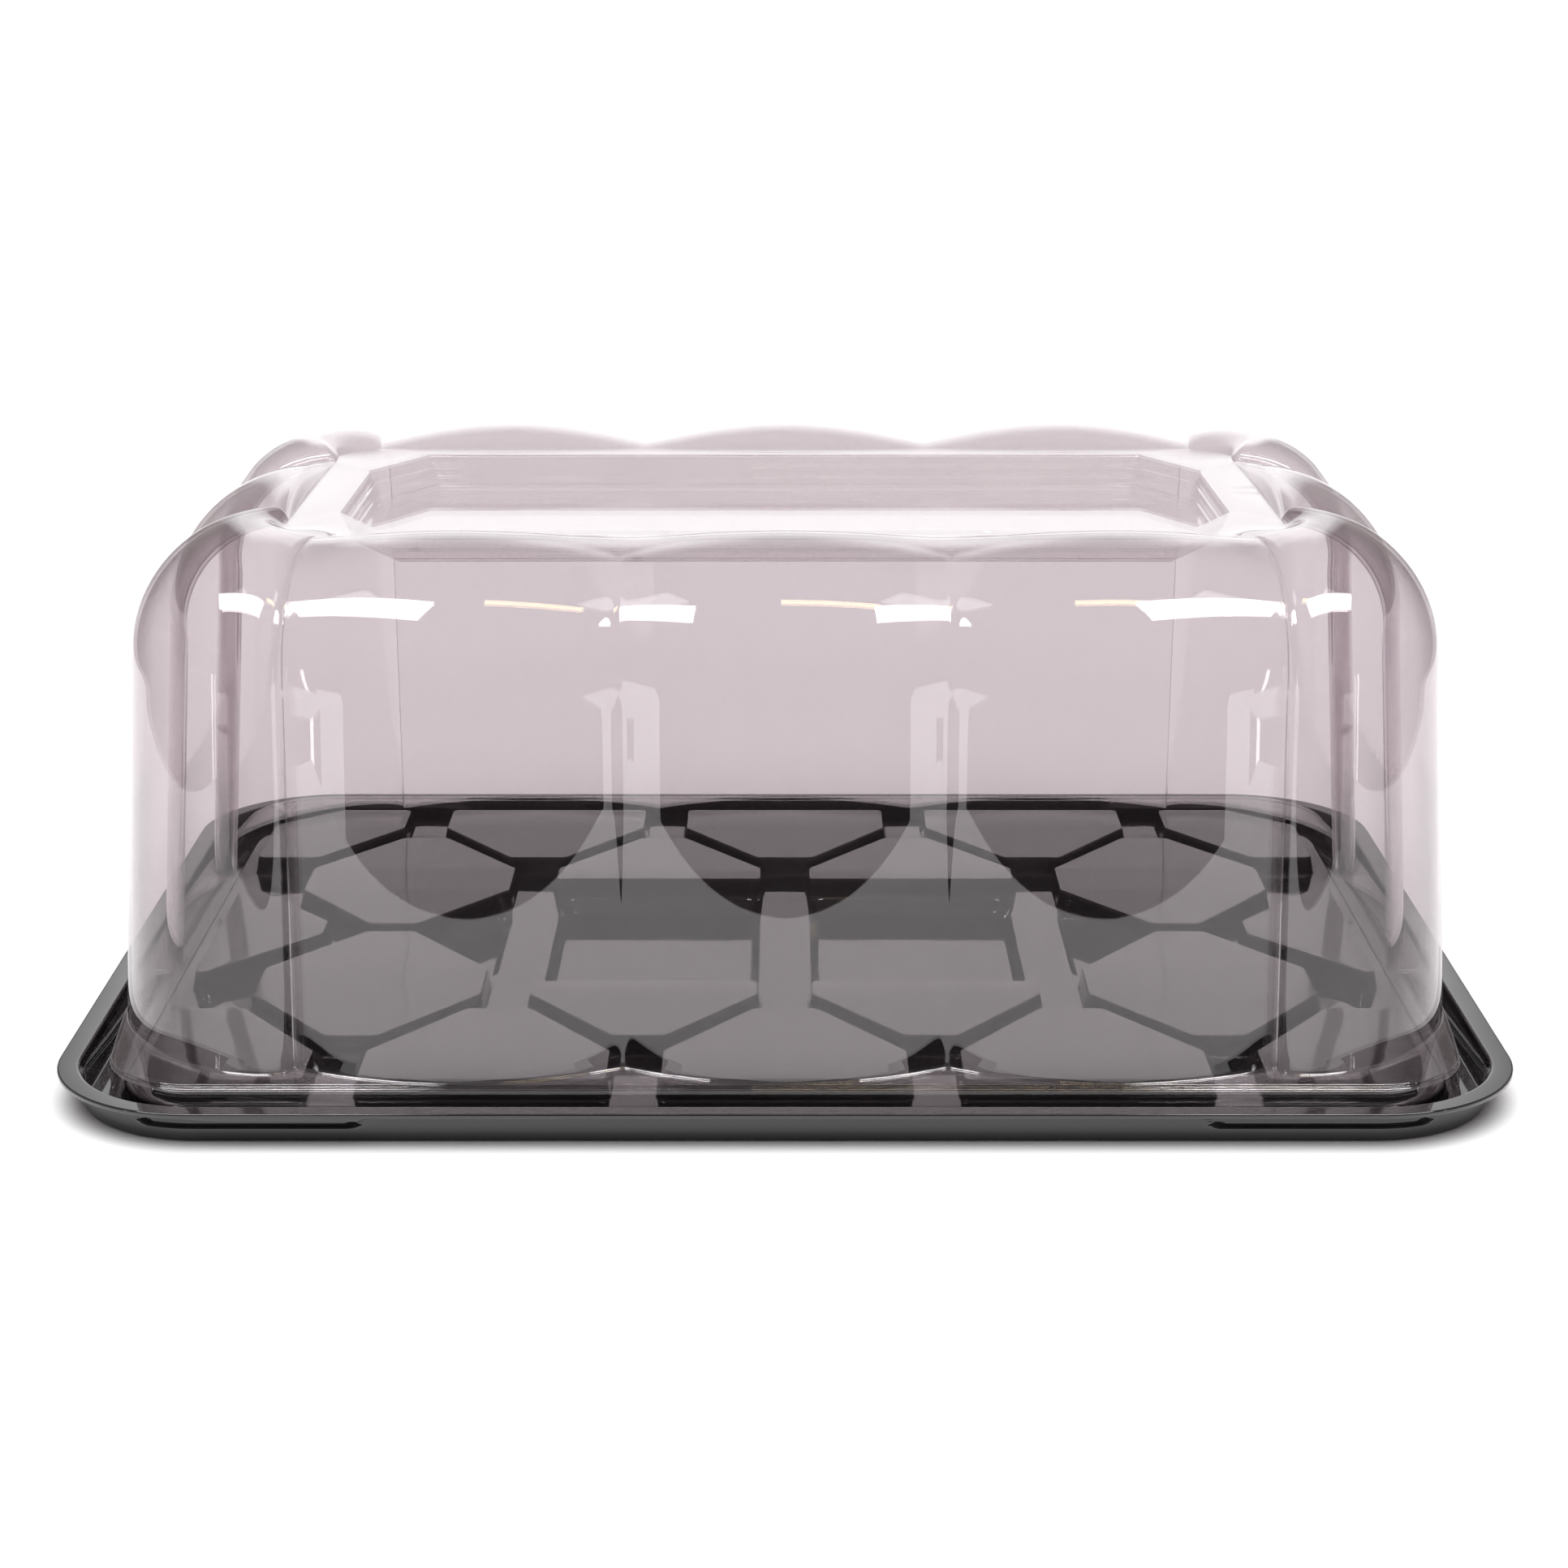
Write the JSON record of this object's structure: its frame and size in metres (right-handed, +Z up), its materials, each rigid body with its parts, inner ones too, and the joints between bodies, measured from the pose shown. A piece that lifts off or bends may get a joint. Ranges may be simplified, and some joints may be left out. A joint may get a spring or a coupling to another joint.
{
  "type": "humidity dome tray",
  "caption": "Shallow black plastic tray with a clear lobed dome that lifts straight off it.",
  "frame": {"origin": "on the ground, under the centre of the tray", "axes": "+X along the tray's length to the right, +Y across it to the back, +Z up"},
  "size_m": [0.38, 0.286, 0.146],
  "materials": {
    "tray_black": "glossy",
    "dome_clear": "clear, glossy"
  },
  "bodies": {
    "tray": {"base_tray": "tray_black"},
    "lid": {"dome_lid": "dome_clear"}
  },
  "joints": [
    {"name": "lid_lift", "type": "slide", "parent": "tray", "child": "lid", "axis": [0, 0, 1], "range_m": [0, 0.15]}
  ]
}
